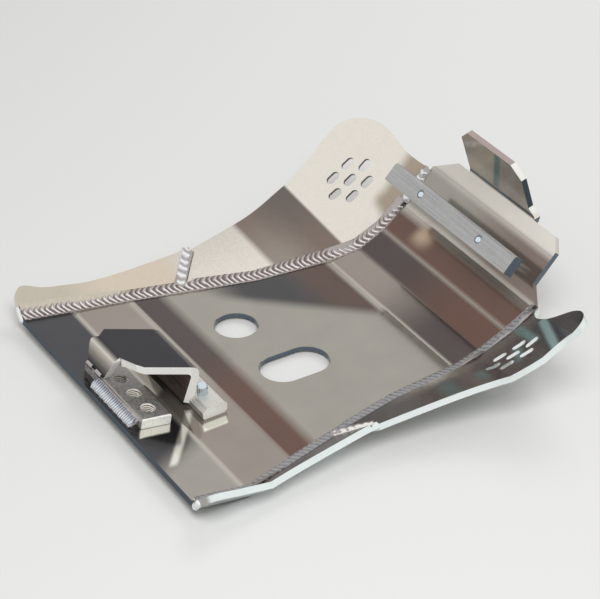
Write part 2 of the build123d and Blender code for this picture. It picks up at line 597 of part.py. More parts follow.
def clamp_bolts():
    made = []
    at = CLAMP_REAR + CLAMP_WIDE / 2 - heel_rear[0]
    for y in CLAMP_BOLT_Y:
        head = Pos(0, 0, -T + CSK_DEPTH / 2) * Cone(CSK_R, CLAMP_BOLT_R, CSK_DEPTH)
        length = T + CLAMP_HIGH + CLAMP_BOLT_UP
        body = head + Pos(0, 0, -T + length / 2) * Cylinder(CLAMP_BOLT_R, length)
        body = chamfer(body.faces().sort_by(Axis.Z)[-1].edges(), BOLT_POINT)
        body -= Pos(0, 0, -T) * extrude(RegularPolygon(CSK_HEX_R, 6), amount=CSK_HEX_DEEP)
        made.append(heel * Pos(at, y, 0) * body)
    return made


def front_bar():
    low = FRONT_BAR_GAP
    block = Pos(FRONT_BAR_AT, 0, low + FRONT_BAR_HIGH / 2) * Box(FRONT_BAR_WIDE, 2 * FRONT_BAR_HALF, FRONT_BAR_HIGH)
    ridge = block.edges().filter_by(Axis.Y).group_by(Axis.Z)[-1].sort_by(Axis.X)[-1]
    block = chamfer(ridge, FRONT_BAR_BEVEL)
    for y in (FRONT_BOLT_Y, -FRONT_BOLT_Y):
        hole = Pos(FRONT_BAR_AT, y, low + FRONT_BAR_HIGH / 2)
        block -= hole * Cylinder(FRONT_BOLT_R + THREAD_CLEAR, 3 * FRONT_BAR_HIGH)
        mouth = Pos(FRONT_BAR_AT, y, low + FRONT_BAR_HIGH - DEBURR / 2)
        block -= mouth * Cone(FRONT_BOLT_R + THREAD_CLEAR, FRONT_BOLT_R + 2 * DEBURR, DEBURR)
    return front * block


def front_bolts():
    bolts, washers = [], []
    under = -T - WASHER_T
    for y in (FRONT_BOLT_Y, -FRONT_BOLT_Y):
        length = FRONT_BAR_GAP + FRONT_BAR_HIGH - FRONT_TIP - under
        shank = Pos(0, 0, under + length / 2) * Cylinder(FRONT_BOLT_R, length)
        shank = chamfer(shank.faces().sort_by(Axis.Z)[-1].edges(), BOLT_POINT)
        head = Pos(0, 0, under - HEAD_HIGH / 2) * Cylinder(HEAD_R, HEAD_HIGH)
        head = fillet(head.faces().sort_by(Axis.Z)[0].edges(), HEAD_ROUND)
        head -= Pos(0, 0, under - HEAD_HIGH) * extrude(RegularPolygon(HEX_R, 6), amount=HEX_DEEP)
        bolts.append(front * Pos(FRONT_BAR_AT, y, 0) * (shank + head))
        ring = Cylinder(WASHER_R, WASHER_T) - Cylinder(FRONT_BOLT_R + CLEAR, 3 * WASHER_T)
        washers.append(front * Pos(FRONT_BAR_AT, y, under + WASHER_T / 2) * ring)
    return bolts, washers


plate = main_plate()
bar = rear_bar()
clamp = clamp_bar()
hat = hat_bracket([bar, plate, clamp])
bar_weld = rear_bar_weld([bar, plate, hat])
nodes = {"main_plate": [plate], "rear_bar": [bar], "rear_bracket": [hat], "rear_bar_weld": [bar_weld],
         "bracket_tack_welds": bracket_tacks([bar, plate, hat, bar_weld]),
         "rear_clamp_bar": [clamp], "rear_clamp_bolts": clamp_bolts(), "front_clamp_bar": [front_bar()]}
nodes["front_clamp_bolts"], nodes["front_clamp_washers"] = front_bolts()
for name, side in (("left", 1), ("right", -1)):
    rear, fore = wing_pieces(side)
    seam = seam_weld(side, [plate, rear, fore])
    nodes[name + "_wing_rear"], nodes[name + "_wing_front"] = [rear], [fore]
    nodes[name + "_seam_weld"] = [seam]
    nodes[name + "_joint_weld"] = [butt_weld(side, [plate, rear, fore, seam])]
    nodes[name + "_rear_corner_weld"] = [tail_weld(side, [plate, rear, seam])]
    if side > 0:
        nodes["left_front_weld"] = [nose_weld([plate, rear, fore, seam])]

boxes = [solid.bounding_box() for solids in nodes.values() for solid in solids]
low = [min(b.min.X for b in boxes), min(b.min.Y for b in boxes), min(b.min.Z for b in boxes)]
high = [max(b.max.X for b in boxes), max(b.max.Y for b in boxes)]
shift = Pos(-(low[0] + high[0]) / 2, -(low[1] + high[1]) / 2, -low[2])
for name, solids in nodes.items():
    moved = [shift * part.solids()[0] for part in solids]
    shape = moved[0] if len(moved) == 1 else Compound(moved)
    export_step(shape, os.path.join("parts", name + ".step"))
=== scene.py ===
import bmesh
import bpy
import math
from mathutils import Matrix, Vector


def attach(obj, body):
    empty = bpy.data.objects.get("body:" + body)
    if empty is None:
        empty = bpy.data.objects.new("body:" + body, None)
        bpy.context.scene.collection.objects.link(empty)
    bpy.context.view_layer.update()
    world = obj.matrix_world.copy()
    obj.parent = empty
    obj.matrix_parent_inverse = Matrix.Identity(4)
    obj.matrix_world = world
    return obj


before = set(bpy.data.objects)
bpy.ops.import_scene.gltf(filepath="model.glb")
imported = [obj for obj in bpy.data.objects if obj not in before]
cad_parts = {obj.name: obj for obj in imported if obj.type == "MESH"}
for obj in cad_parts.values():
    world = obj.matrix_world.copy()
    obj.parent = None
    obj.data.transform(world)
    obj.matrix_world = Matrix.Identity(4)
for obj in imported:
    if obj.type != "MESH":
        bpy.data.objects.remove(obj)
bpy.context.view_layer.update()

# Sizes are in the part's own millimetres, measured from the rear bend of the belly. ORIGIN moves them to the
# frame.
ORIGIN = Vector((-92.917, 2.112, 1.378))
MM = 0.001

# Sheet and panels of the main plate, as in the part's source: length along the sheet and slope from level.
T = 4.76
KICK_LEN, KICK_SLOPE = 43.2, math.radians(-8.9)
HEEL_LEN, HEEL_SLOPE = 44.4, math.radians(1.8)
BELLY_LEN = 162.7
FIRST_LEN, FIRST_SLOPE = 26.7, math.radians(10.1)
SECOND_LEN, SECOND_SLOPE = 25.3, math.radians(24.8)
THIRD_LEN, THIRD_SLOPE = 26.7, math.radians(33.4)
FRONT_LEN, FRONT_SLOPE = 52.6, math.radians(47.7)

# Half width of the plate at the end of each panel.
REAR_HALF = 133.0
JOINT_X, JOINT_HALF = 52.0, 107.5
WAIST_X, WAIST_HALF = 100.0, 95.5
BELLY_END_HALF, FIRST_END_HALF, SECOND_END_HALF, SHOULDER_HALF = 89.7, 86.5, 87.0, 89.0


def step_on(point, length, slope):
    """The next point of the plate's line, given in x and z."""
    return (point[0] + length * math.cos(slope), point[1] + length * math.sin(slope))


def between(table, x):
    """Value at x on a line through the table's places."""
    for (xa, va), (xb, vb) in zip(table[:-1], table[1:]):
        if x <= xb:
            return va + (vb - va) * (x - xa) / (xb - xa)
    return table[-1][1]


belly_rear, belly_front = (0.0, T), (BELLY_LEN, T)
first_end = step_on(belly_front, FIRST_LEN, FIRST_SLOPE)
second_end = step_on(first_end, SECOND_LEN, SECOND_SLOPE)
third_end = step_on(second_end, THIRD_LEN, THIRD_SLOPE)
front_end = step_on(third_end, FRONT_LEN, FRONT_SLOPE)
heel_rear = step_on(belly_rear, -HEEL_LEN, HEEL_SLOPE)
rear_end = step_on(heel_rear, -KICK_LEN, KICK_SLOPE)
PROFILE = [rear_end, heel_rear, belly_rear, belly_front, first_end, second_end, third_end, front_end]
SIDE = [(rear_end[0] - T, REAR_HALF), (heel_rear[0], REAR_HALF), (JOINT_X, JOINT_HALF), (WAIST_X, WAIST_HALF),
        (BELLY_LEN, BELLY_END_HALF), (first_end[0], FIRST_END_HALF), (second_end[0], SECOND_END_HALF),
        (third_end[0], SHOULDER_HALF)]


def wing_panel(start, end, lifts, out):
    """Height of a wing panel's inner face over the origin, its slope along x and its slope outward. lifts are
    how high the face passes over the plate's side at start and end."""
    (xa, za), (xb, zb) = [(x, between(PROFILE, x) + lift - out * between(SIDE, x))
                          for x, lift in zip((start, end), lifts)]
    along = (zb - za) / (xb - xa)
    return (za - along * xa, along, out)


REAR_PANELS = [wing_panel(rear_end[0], heel_rear[0], (2.17, 2.29), 0.9975),
               wing_panel(heel_rear[0], JOINT_X, (3.05, 1.32), 0.6308)]
FRONT_PANELS = [wing_panel(JOINT_X, BELLY_LEN, (3.06, 3.39), 0.4788),
                wing_panel(BELLY_LEN, first_end[0], (-1.92, 1.47), 0.5610),
                wing_panel(first_end[0], third_end[0], (-2.88, -0.12), 0.6302),
                wing_panel(third_end[0], front_end[0], (1.00, 3.37), 0.8179)]


def wing_height(x, y):
    """Inner face of a wing: the highest of its panels, seen from above."""
    panels = REAR_PANELS if x < JOINT_X else FRONT_PANELS
    return max(c + cx * x + cy * abs(y) for c, cx, cy in panels)


def place(x, y, z):
    """A point of the part, given in millimetres, as a point of the frame in metres."""
    return (Vector((x, y, z)) + ORIGIN) * MM


def tone(r, g, b):
    """A colour as it looks on screen, 0 to 255, as the linear colour that a socket takes."""
    shares = [v / 255 for v in (r, g, b)]
    return tuple(s / 12.92 if s <= 0.04 else ((s + 0.055) / 1.055) ** 2.4 for s in shares) + (1.0,)


# Shader helpers
class Net:
    """A node tree with short calls for the nodes that the finishes need."""

    def __init__(self, tree):
        self.tree = tree

    def node(self, kind, **settings):
        made = self.tree.nodes.new(kind)
        for key, value in settings.items():
            setattr(made, key, value)
        return made

    def feed(self, socket, value):
        if isinstance(value, bpy.types.NodeSocket):
            self.tree.links.new(value, socket)
        elif value is not None:
            socket.default_value = value

    def math(self, operation, a, b=None):
        made = self.node("ShaderNodeMath", operation=operation)
        self.feed(made.inputs[0], a)
        self.feed(made.inputs[1], b)
        return made.outputs[0]

    def span(self, value, low, high, to_low=0.0, to_high=1.0):
        """value between low and high as a smooth number between to_low and to_high."""
        made = self.node("ShaderNodeMapRange", interpolation_type="SMOOTHSTEP")
        for socket, v in zip(made.inputs, (value, low, high, to_low, to_high)):
            self.feed(socket, v)
        return made.outputs[0]

    def within(self, value, start, end, soft):
        """1 where value is between start and end, fading over soft inside each."""
        return self.math("MULTIPLY", self.span(value, start, start + soft), self.span(value, end, end - soft))

    def mix(self, share, a, b, how="MIX"):
        made = self.node("ShaderNodeMix", data_type="RGBA", blend_type=how)
        for socket, v in zip((made.inputs[0], made.inputs[6], made.inputs[7]), (share, a, b)):
            self.feed(socket, v)
        return made.outputs[2]

    def ramp(self, value, stops):
        """Colour at a place in millimetres. stops are (place, colour), in order."""
        low, high = stops[0][0], stops[-1][0]
        made = self.node("ShaderNodeValToRGB")
        self.feed(made.inputs[0], self.math("DIVIDE", self.math("SUBTRACT", value, low), high - low))
        points = made.color_ramp.elements
        while len(points) < len(stops):
            points.new(0.5)
        for i, (at, colour) in enumerate(stops):
            points[i].position = (at - low) / (high - low)
        for i, (at, colour) in enumerate(stops):
            points[i].color = tone(*colour)
        return made.outputs[0]

    def group(self, made_group, **values):
        made = self.node("ShaderNodeGroup", node_tree=made_group)
        for key, value in values.items():
            self.feed(made.inputs[key.replace("_", " ")], value)
        return made.outputs


def new_group(name, inputs, outputs):
    tree = bpy.data.node_groups.new(name, "ShaderNodeTree")
    for label, kind, value in inputs:
        made = tree.interface.new_socket(label, in_out="INPUT", socket_type=kind)
        made.default_value = value
    for label, kind in outputs:
        tree.interface.new_socket(label, in_out="OUTPUT", socket_type=kind)
    net = Net(tree)
    return net, net.node("NodeGroupInput").outputs, net.node("NodeGroupOutput").inputs


def build_part_place():
    """Where a point lies on the part, in its own millimetres, and which way its face points."""
    labels = ("X", "Y", "Z", "Face X", "Face Y", "Face Z")
    net, _, out = new_group("place on the part", [], [(label, "NodeSocketFloat") for label in labels])
    coords = net.node("ShaderNodeTexCoord")
    fit = net.node("ShaderNodeMapping")
    net.feed(fit.inputs["Vector"], coords.outputs["Object"])
    net.feed(fit.inputs["Location"], -ORIGIN)
    net.feed(fit.inputs["Scale"], (1 / MM,) * 3)
    at = net.node("ShaderNodeSeparateXYZ")
    net.feed(at.inputs[0], fit.outputs[0])
    facing = net.node("ShaderNodeSeparateXYZ")
    net.feed(facing.inputs[0], coords.outputs["Normal"])
    for i in range(3):
        net.feed(out[i], at.outputs[i])
        net.feed(out[3 + i], facing.outputs[i])
    return net.tree


def build_grain():
    """Fine streaks and soft cloudiness of worked metal."""
    net, take, out = new_group("metal grain",
                               [("Streaks", "NodeSocketVector", (1.0, 1.0, 1.0)),
                                ("Cloud Size", "NodeSocketFloat", 60.0),
                                ("Streak Depth", "NodeSocketFloat", 0.1),
                                ("Cloud Depth", "NodeSocketFloat", 0.06),
                                ("Smoothest", "NodeSocketFloat", 0.15),
                                ("Roughest", "NodeSocketFloat", 0.3)],
                               [("Shade", "NodeSocketColor"), ("Roughness", "NodeSocketFloat"),
                                ("Height", "NodeSocketFloat")])
    coords = net.node("ShaderNodeTexCoord").outputs["Object"]
    stretch = net.node("ShaderNodeMapping")
    net.feed(stretch.inputs["Vector"], coords)
    net.feed(stretch.inputs["Scale"], take["Streaks"])
    streak = net.node("ShaderNodeTexNoise")
    net.feed(streak.inputs["Vector"], stretch.outputs[0])
    net.feed(streak.inputs["Scale"], 1.0)
    net.feed(streak.inputs["Detail"], 4.0)
    net.feed(streak.inputs["Roughness"], 0.6)
    cloud = net.node("ShaderNodeTexNoise")
    net.feed(cloud.inputs["Vector"], coords)
    net.feed(cloud.inputs["Scale"], take["Cloud Size"])
    net.feed(cloud.inputs["Detail"], 3.0)
    fine = net.math("MULTIPLY", net.math("SUBTRACT", streak.outputs["Fac"], 0.5), take["Streak Depth"])
    soft = net.math("MULTIPLY", net.math("SUBTRACT", cloud.outputs["Fac"], 0.5), take["Cloud Depth"])
    level = net.math("ADD", 1.0, net.math("MULTIPLY", net.math("ADD", fine, soft), 2.0))
    shade = net.node("ShaderNodeCombineColor")
    for socket in shade.inputs[:3]:
        net.feed(socket, level)
    net.feed(out["Shade"], shade.outputs[0])
    share = net.span(streak.outputs["Fac"], 0.3, 0.7)
    spread = net.math("MULTIPLY", share, net.math("SUBTRACT", take["Roughest"], take["Smoothest"]))
    net.feed(out["Roughness"], net.math("ADD", take["Smoothest"], spread))
    net.feed(out["Height"], streak.outputs["Fac"])
    return net.tree


PLACE = build_part_place()
GRAIN = build_grain()
RELIEF = 0.2              # height of the grain, in millimetres


def finish_metal(name, colour_of, streaks, cloud=60.0, streak_depth=0.06, cloud_depth=0.04, smooth=0.14,
                 rough=0.24, bump=0.05, metal_of=None):
    """A metal finish. colour_of(net, at) and metal_of(net, at) give the colour and how much of it mirrors,
    where at holds the place on the part. streak_depth is a number or such a function."""
    made = bpy.data.materials.new(name)
    made.use_nodes = True
    net = Net(made.node_tree)
    shader = made.node_tree.nodes["Principled BSDF"]
    at = net.group(PLACE)
    depth = streak_depth(net, at) if callable(streak_depth) else streak_depth
    grain = net.group(GRAIN, Streaks=streaks, Cloud_Size=cloud, Streak_Depth=depth, Cloud_Depth=cloud_depth,
                      Smoothest=smooth, Roughest=rough)
    net.feed(shader.inputs["Base Color"], net.mix(1.0, colour_of(net, at), grain["Shade"], "MULTIPLY"))
    net.feed(shader.inputs["Metallic"], metal_of(net, at) if metal_of else 1.0)
    net.feed(shader.inputs["Roughness"], grain["Roughness"])
    relief = net.node("ShaderNodeBump")
    net.feed(relief.inputs["Strength"], bump)
    net.feed(relief.inputs["Distance"], RELIEF * MM)
    net.feed(relief.inputs["Height"], grain["Height"])
    net.feed(shader.inputs["Normal"], relief.outputs[0])
    return made


# Finishes
UNDERSIDE = (172, 169, 163)
WALL = (96, 108, 118)
# Tones of the reflections, highlights and shade painted on the worked sheets, from the dark of a room to its
# lamps.
DEEP_SHADE, DUSK, ASH = (64, 63, 66), (86, 77, 75), (112, 105, 101)
UMBER, SAND = (106, 81, 72), (130, 116, 108)
TAUPE, STONE = (152, 143, 135), (160, 155, 147)
PALE, LIT, GLARE = (184, 178, 169), (208, 202, 193), (228, 222, 213)
IVORY, CREAM = (197, 190, 175), (214, 201, 184)
TEAL, STEEL = (116, 148, 146), (54, 68, 78)

# Painted reflections in fields across the plate, one or two to a panel and a painted glint to a bend: x from,
# x to, tone on the left and on the right.
PLATE_REFLECTION_FIELDS = [(-87, -49, DEEP_SHADE, STONE), (-45.2, -44.2, PALE, PALE), (-42.5, -6, TAUPE, TAUPE),
                (-1.0, -0.4, PALE, TAUPE), (1, 18, DUSK, UMBER), (28, 158, STONE, STONE),
                (162.3, 163, PALE, PALE), (164.8, 187, TAUPE, DUSK), (190, 209, DUSK, UMBER),
                (211.6, 212.2, TAUPE, TAUPE), (213.8, 227, UMBER, UMBER), (234.2, 235, LIT, PALE),
                (237, 257, STONE, SAND), (262, 272, LIT, GLARE)]


def fields(net, along, rows, side=0):
    """Fields of one tone each, which melt into each other in between. side 0 takes the first tone of a row, 1
    the second."""
    return net.ramp(along, [(end, row[2 + side]) for row in rows for end in row[:2]])


def mirrored(net, at, colour, shapes):
    """Paints reflections: lays the shapes that a sheet mirrors over its colour. Each is x from, x to, y from, y
    to, lean of x per y, softness, tone."""
    for x0, x1, y0, y1, lean, soft, shape_tone in shapes:
        x = net.math("SUBTRACT", at["X"], net.math("MULTIPLY", net.math("SUBTRACT", at["Y"], y0), lean))
        shape = net.math("MULTIPLY", net.within(x, x0 - soft, x1 + soft, 2 * soft),
                         net.span(at["Y"], y0 + soft, y0 - soft))
        shape = net.math("MULTIPLY", shape, net.span(at["Y"], y1 - soft * 1.5, y1 + soft * 1.5))
        colour = net.mix(shape, colour, tone(*shape_tone))
    return colour


def by_face(net, face, low, high, inside, outside):
    """inside where a face direction is at high, outside where it is at low."""
    return net.mix(net.span(face, low, high), outside, inside)


# Places of the plate's folds, each painted with a thin dark line of shade.
FOLD_LINES = (-1.5, 161.0, 165.2, 187.8, 210.6, 233.0, 260.4)
FOLD_SHADE_TONE, REAR_EDGE_TONE = (84, 76, 72), (58, 72, 84)
# Bright shapes painted on the plate as reflections, three beside the bracket and one under the front bar.
PLATE_GLINTS = [(-78, -53, -38, -47.5, 0.6, 0.8, (232, 230, 220)),
                (-37, -30.5, -31, -86, 0.8, 2.2, (226, 224, 214)),
                (-33, -13, -49.5, -57.5, 0.4, 1.0, (238, 236, 226)),
                (219, 232, 54, 37, 0.0, 6.0, (186, 162, 138))]
TAB_FROM = 78.0


def plate_colour(net, at):
    """The plate's fields of painted reflection with painted reflections of shapes over them, its underside, its
    cut edges and the tab.
    """
    far, near = fields(net, at["X"], PLATE_REFLECTION_FIELDS), fields(net, at["X"], PLATE_REFLECTION_FIELDS, 1)
    across = net.span(at["Y"], 45.0, -45.0)
    tail = net.span(net.math("SUBTRACT", at["Y"], net.math("MULTIPLY", net.math("ADD", at["X"], 60.0), 0.6)),
                    -56.0, -86.0)
    in_tail = net.span(at["X"], -45.5, -46.5)
    share = net.math("ADD", net.math("MULTIPLY", across, net.math("SUBTRACT", 1.0, in_tail)),
                     net.math("MULTIPLY", tail, in_tail))
    top = net.mix(share, far, near)
    top = mirrored(net, at, top, PLATE_GLINTS)
    # Painted reflection of the left wing, dark in the belly up to a line aslant from the seam to the front bend.
    aslant = net.math("ADD", at["Y"], net.math("MULTIPLY", net.math("SUBTRACT", at["X"], 80.0), 0.87))
    dark = net.math("MULTIPLY", net.span(aslant, 58.0, 79.0), net.span(at["X"], 160.0, 155.0))
    dark = net.math("MULTIPLY", dark, net.span(at["X"], 44.0, 84.0, 0.0, 0.95))
    brownish = net.mix(net.span(at["X"], 112.0, 140.0), tone(66, 65, 68), tone(90, 72, 66))
    top = net.mix(dark, top, brownish)
    # A thin line of painted shade along each fold.
    for x in FOLD_LINES:
        away = net.math("ABSOLUTE", net.math("SUBTRACT", at["X"], x))
        top = net.mix(net.span(away, 0.6, 0.2, 0.0, 0.2), top, tone(*FOLD_SHADE_TONE))
    colour = by_face(net, at["Face Z"], 0.25, 0.45, top, tone(*UNDERSIDE))
    walls = by_face(net, net.math("ABSOLUTE", at["Face Z"]), 0.12, 0.3, colour, tone(*WALL))
    rear_edge = net.math("MULTIPLY", net.span(at["Face X"], -0.7, -0.9), net.span(at["X"], -80.0, -84.0))
    walls = net.mix(rear_edge, walls, tone(*REAR_EDGE_TONE))
    return net.mix(net.span(at["Z"], TAB_FROM - 1.0, TAB_FROM + 2.0), walls, tab_colour(net, at))


def plate_metal(net, at):
    """The front of the plate mirrors less than its belly."""
    return net.span(at["X"], 200.0, 222.0, 0.74, 0.5)


def tab_colour(net, at):
    """The upright tab: a mirror-like face with a painted teal reflection streak, a dark right edge and a
    painted highlight on its bevel.
    """
    streak = net.math("ADD", at["Y"], net.math("MULTIPLY", net.math("SUBTRACT", at["Z"], TAB_FROM), 0.39))
    face = fields(net, streak, [(-24, 8, PALE), (12, 16, TEAL), (19, 34, IVORY), (50, 64, PALE)])
    rim = net.ramp(at["Face Y"], [(-1.0, (48, 60, 70)), (-0.93, (48, 60, 70)), (-0.86, (238, 238, 234)),
                                  (-0.4, (240, 238, 234)), (-0.25, (172, 156, 152)), (0.5, (172, 156, 152))])
    return by_face(net, at["Face X"], -0.6, -0.8, face, rim)


VENTS_X, VENTS_Y = (178.0, 236.0), (96.0, 146.0)
# Where the folds of a wing meet the plate's side, and how far they run forward for each millimetre outward.
FOLDS_FROM, FOLDS_LEAN = 88.0, -0.279
# Fields of painted reflection and shade along the wings: from, to, tone by the seam, tone by the rim. The last
# one of the left wing begins at its first fold ahead of the joint.
LEFT_SHADING_FIELDS = [(-90, -30, IVORY, IVORY), (0, 48, CREAM, CREAM), (62, 117.5, GLARE, LIT),
               (123, 134, TAUPE, SAND), (164, 180.2, SAND, ASH), (181.6, 260, GLARE, GLARE)]
RIGHT_SHADING_FIELDS = [(-90, 50, ASH, DUSK), (74, 92, DEEP_SHADE, DEEP_SHADE), (120, 126, TAUPE, DUSK), (138, 144, LIT, DUSK),
                (160, 163, TAUPE, ASH), (174, 206, ASH, DUSK), (216, 235, ASH, DEEP_SHADE)]
# Teal reflections painted in streaks across the right wing.
TEAL_REFLECTIONS = [(220, 226, -112, -168, 0.54, 2.0, (160, 190, 190)),
                (212, 218, -94, -134, 0.34, 2.4, (114, 146, 146)),
                (193, 200, -116, -143, 0.58, 2.6, (106, 136, 136)),
                (156, 164, -120, -140, 0.3, 3.5, (104, 128, 126)),
                (128, 142, -110, -150, 0.33, 5.0, (98, 118, 118))]


def vent_zone(net, at):
    """1 around the vent slots of the wings, clear of their outer edges."""
    aside = net.math("ABSOLUTE", at["Y"])
    return net.math("MULTIPLY", net.within(at["X"], *VENTS_X, 3.0), net.within(aside, *VENTS_Y, 2.0))


def wing_shading(net, at, rows, rim):
    """The painted reflection and shade of a wing, in fields. Each goes from its tone by the seam to its tone at
    rim.
    """
    aside = net.math("ABSOLUTE", at["Y"])
    forward = net.math("MULTIPLY", net.math("SUBTRACT", aside, FOLDS_FROM), FOLDS_LEAN)
    along = net.math("SUBTRACT", at["X"], forward)
    return net.mix(net.span(aside, 96.0, rim), fields(net, along, rows), fields(net, along, rows, 1))


def left_wing_colour(net, at):
    """The wing that faces the light, with a painted shadow beside the front bar, pale cut edges and slot walls
    darkened as painted shade.
    """
    inner = wing_shading(net, at, LEFT_SHADING_FIELDS, 148.0)
    # Painted shadow of the front bar on the wing beside it.
    bar_shadow = net.math("MULTIPLY", net.span(at["X"], 212.0, 222.0), net.span(at["Y"], 110.0, 100.0))
    inner = net.mix(bar_shadow, inner, tone(168, 156, 140))
    inner = by_face(net, at["Face Z"], 0.3, 0.5, inner, tone(*UNDERSIDE))
    sawn = net.mix(vent_zone(net, at), tone(214, 208, 198), tone(66, 62, 60))
    return by_face(net, at["Face Z"], 0.44, 0.53, inner, sawn)


def right_wing_metal(net, at):
    """Mirrors all over but in the walls of the vent slots."""
    walls = net.math("MULTIPLY", net.span(at["Face Y"], -0.35, -0.55), vent_zone(net, at))
    return net.span(walls, 0.0, 1.0, 0.62, 0.0)


def right_wing_colour(net, at):
    """The wing that faces away from the light, with painted teal reflections and cut edges painted white as a
    highlight, whitest on the walls of the vent slots.
    """
    inner = wing_shading(net, at, RIGHT_SHADING_FIELDS, 118.0)
    inner = by_face(net, at["Face Z"], 0.3, 0.5, inner, tone(*UNDERSIDE))
    inner = mirrored(net, at, inner, TEAL_REFLECTIONS)
    sawn = net.mix(vent_zone(net, at), tone(228, 236, 235), tone(252, 255, 255))
    return by_face(net, at["Face Y"], -0.35, -0.55, sawn, inner)


def lit_sawn_face(net, at):
    """1 on the faces cut square to the sheet that look to the right or forward. The bracket, the rear bar and
    the clamp bar paint these sawn faces near white, as a painted highlight.
    """
    return net.span(at["Face Y"], -0.3, -0.45)


def bracket_colour(net, at):
    # Painted reflections and highlights over the bracket, by the way each face looks and by height, and painted
    # shade on its rear-looking faces ahead of about x -60 and on faces that look down.
    cover = net.ramp(at["Face X"], [(0.1, DEEP_SHADE), (0.6, ASH), (1.0, TAUPE)])
    rear = net.ramp(at["Z"], [(16, STEEL), (24, ASH), (29, TAUPE), (36, LIT), (38.5, DEEP_SHADE)])
    cover = net.mix(net.span(at["Face X"], -0.02, -0.12), cover, rear)
    below = net.math("MULTIPLY", net.span(at["X"], -64.0, -56.0), net.span(at["Face X"], -0.5, -0.8))
    inside = net.mix(below, cover, tone(104, 90, 84))
    inside = by_face(net, at["Face Z"], -0.5, -0.9, tone(104, 92, 86), inside)
    # Sawn faces that look right are painted near white as a highlight.
    return net.mix(lit_sawn_face(net, at), inside, tone(253, 253, 249))


def bracket_metal(net, at):
    below = net.math("MULTIPLY", net.span(at["X"], -64.0, -56.0), net.span(at["Face X"], -0.5, -0.8))
    below = net.math("MAXIMUM", below, net.span(at["Face Z"], -0.5, -0.9))
    matte = net.math("MAXIMUM", lit_sawn_face(net, at), net.math("MULTIPLY", below, 0.5))
    return net.math("SUBTRACT", 1.0, matte)


# Axes of the three tapped holes.
THREAD_X, THREAD_YS = -64.1, (17.9, -3.0, -23.9)


def in_thread(net, at):
    """1 in the three tapped holes of the rear bar."""
    inside = None
    for y in THREAD_YS:
        dx, dy = net.math("SUBTRACT", at["X"], THREAD_X), net.math("SUBTRACT", at["Y"], y)
        away = net.math("SQRT", net.math("ADD", net.math("MULTIPLY", dx, dx), net.math("MULTIPLY", dy, dy)))
        hole = net.span(away, 6.2, 5.8)
        inside = net.math("MAXIMUM", inside, hole) if inside else hole
    return net.math("MULTIPLY", inside, net.span(net.math("ABSOLUTE", at["Face Z"]), 0.95, 0.85))


def rear_bar_colour(net, at):
    upright = net.math("ABSOLUTE", at["Face Z"])
    walls = by_face(net, upright, 0.5, 0.8, tone(158, 155, 151), tone(214, 212, 204))
    # Sawn faces that look right are painted near white as a highlight.
    bar = net.mix(lit_sawn_face(net, at), walls, tone(252, 252, 246))
    # Painted light and shade in the tapped holes: thread faces that look up are light, the rest dark.
    thread = by_face(net, at["Face Z"], 0.1, 0.5, tone(232, 226, 216), tone(96, 84, 76))
    return net.mix(in_thread(net, at), bar, thread)


def bar_metal(net, at):
    return net.span(lit_sawn_face(net, at), 0.0, 1.0, 0.55, 0.05)


def clamp_bar_colour(net, at):
    # Sawn faces that look right are painted near white as a highlight.
    return net.mix(lit_sawn_face(net, at), tone(204, 202, 196), tone(253, 253, 246))


def front_bar_colour(net, at):
    flat = by_face(net, at["Face Y"], -0.5, -0.8, tone(88, 98, 108), tone(168, 168, 168))
    return by_face(net, at["Face X"], 0.3, 0.6, tone(122, 124, 126), flat)


def plain(*colour):
    """One tone with a slight painted light, hardly lighter at the top of the part than at the floor."""
    lighter = [min(255, c + 6) for c in colour]
    return lambda net, at: net.mix(net.span(at["Z"], 0.0, 120.0), tone(*colour), tone(*lighter))


def left_wing_speckle(net, at):
    """The sheet is coarser from the joint to the darker field ahead of it."""
    rearward = net.span(at["X"], 50.0, 60.0, 0.03, 0.15)
    return net.math("MULTIPLY", rearward, net.span(at["X"], 112.0, 104.0, 0.2, 1.0))


def weld_colour(net, at):
    """Plain weld. From the rear to short of the wings' joint, its outer fringe is in the tone of the wings."""
    # Beside the bead, the tones of the wings: painted light on the left, painted shade on the right.
    side = net.mix(net.span(at["Y"], -20.0, 20.0), tone(124, 118, 114), tone(202, 194, 178))
    taper = (REAR_HALF - JOINT_HALF) / (JOINT_X - heel_rear[0])
    from_bend = net.math("MAXIMUM", net.math("SUBTRACT", at["X"], heel_rear[0]), 0.0)
    narrowing = net.math("MULTIPLY", from_bend, taper)
    aside = net.math("ADD", net.math("ABSOLUTE", at["Y"]), narrowing)
    fringe = net.math("MULTIPLY", net.span(aside, 131.5, 133.5), net.span(at["X"], 40.0, 25.0))
    return net.mix(fringe, tone(172, 166, 164), side)


LENGTHWISE = (14.0, 900.0, 900.0)
CROSSWISE = (900.0, 16.0, 900.0)
EVEN = (420.0, 420.0, 420.0)
plate_finish = finish_metal("polished belly sheet", plate_colour, LENGTHWISE, cloud=40, streak_depth=0.03,
                            cloud_depth=0.09, smooth=0.09, rough=0.15, bump=0.02, metal_of=plate_metal)
left_finish = finish_metal("satin left wing", left_wing_colour, (560.0, 560.0, 560.0), cloud=240,
                           streak_depth=left_wing_speckle, smooth=0.24, rough=0.34, bump=0.03)
right_finish = finish_metal("satin right wing", right_wing_colour, (260.0, 260.0, 260.0), cloud=160,
                            streak_depth=0.03, cloud_depth=0.06, smooth=0.14, rough=0.26, bump=0.02,
                            metal_of=right_wing_metal)
bracket_finish = finish_metal("rolled bracket sheet", bracket_colour, (500.0, 30.0, 500.0), streak_depth=0.04,
                              smooth=0.16, rough=0.3, metal_of=bracket_metal)
rear_bar_finish = finish_metal("milled rear bar", rear_bar_colour, (500.0, 240.0, 500.0), cloud=500,
                               streak_depth=0.16, cloud_depth=0.16, smooth=0.2, rough=0.4, bump=0.2,
                               metal_of=bar_metal)
